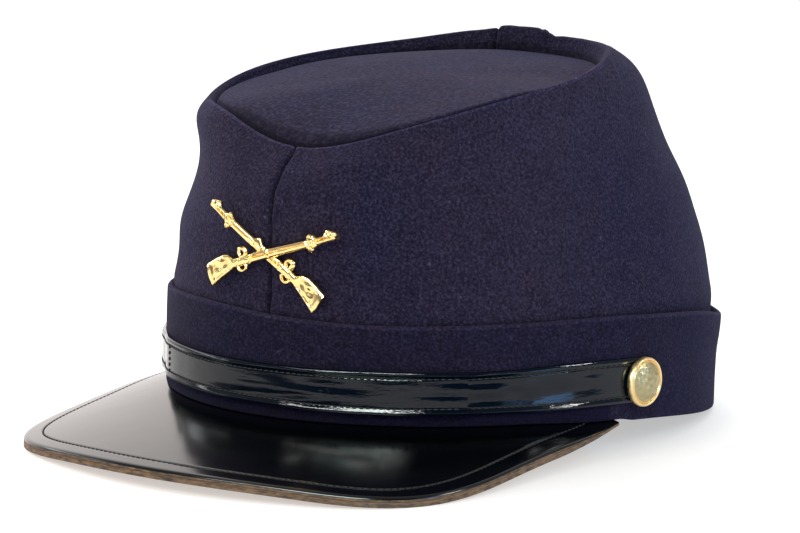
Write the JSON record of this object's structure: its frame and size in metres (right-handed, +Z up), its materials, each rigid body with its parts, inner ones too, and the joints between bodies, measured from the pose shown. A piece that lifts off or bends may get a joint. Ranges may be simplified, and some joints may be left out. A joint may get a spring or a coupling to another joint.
{
  "type": "kepi cap",
  "caption": "Soft wool kepi cap with a sunken slanted top, stiff leather peak, leather chin strap buttoned at the sides and a crossed-rifles badge.",
  "frame": {"origin": "on the surface the cap rests on, below the middle of its bounding box", "axes": "+Z up; -Y the wearer's front, where the peak points; +X the wearer's left; +Y the back"},
  "size_m": [0.1822, 0.2556, 0.1253],
  "materials": {
    "wool": "dark navy wool felt, matt",
    "patent_leather": "black patent, glossy",
    "raw_leather": "tan, matt, raw cut edge",
    "brass": "polished"
  },
  "bodies": {
    "root": {"crown_left": "wool", "crown_right": "wool", "crown_top": "wool", "band": "wool", "peak": "patent_leather", "peak_underside": "raw_leather", "chin_strap_inner": "patent_leather", "chin_strap_outer": "patent_leather", "button_left": "brass", "button_right": "brass", "badge": "brass"}
  },
  "joints": []
}
